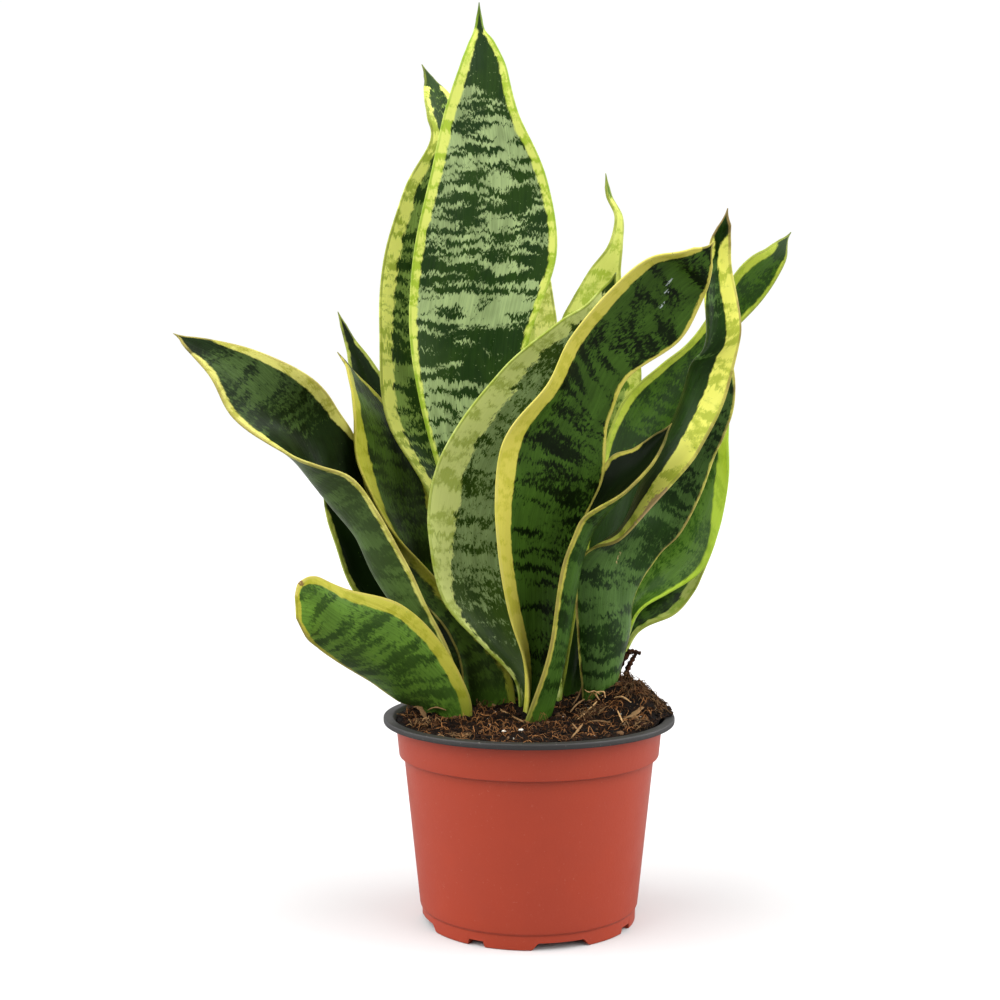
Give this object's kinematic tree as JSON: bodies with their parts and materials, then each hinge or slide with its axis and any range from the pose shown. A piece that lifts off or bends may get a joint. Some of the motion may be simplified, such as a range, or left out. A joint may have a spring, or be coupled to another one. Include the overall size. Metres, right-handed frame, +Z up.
{
  "type": "potted snake plant",
  "caption": "Snake plant with banded, yellow-edged upright leaves growing from peaty soil in a round tapered terracotta-coloured nursery pot with a flat rim.",
  "frame": {"origin": "centre of the bounding box, at the height of the pot's foot ring, which stands on z = 0", "axes": "+Z up along the pot's axis; -Y is the side seen in the picture; +X is the viewer's right"},
  "size_m": [0.2632, 0.1495, 0.3887],
  "materials": {
    "pot": "satin",
    "soil": "rough",
    "pale_leaf": "satin",
    "green_leaf": "satin",
    "dark_leaf": "satin"
  },
  "bodies": {
    "root": {"pot": "pot", "soil": "soil", "leaf_tall": "pale_leaf", "leaf_tall_back": "dark_leaf", "leaf_hidden_back": "pale_leaf", "leaf_spear_back": "green_leaf", "leaf_centre": "pale_leaf", "leaf_front": "dark_leaf", "leaf_front_cup": "green_leaf", "leaf_right_twisted": "dark_leaf", "leaf_right_back": "green_leaf", "leaf_right_low": "pale_leaf", "leaf_right_under": "dark_leaf", "leaf_left_long": "dark_leaf", "leaf_left_behind": "dark_leaf", "leaf_left_short": "green_leaf", "leaf_left_small": "dark_leaf", "leaf_left_arched": "dark_leaf"}
  },
  "joints": []
}
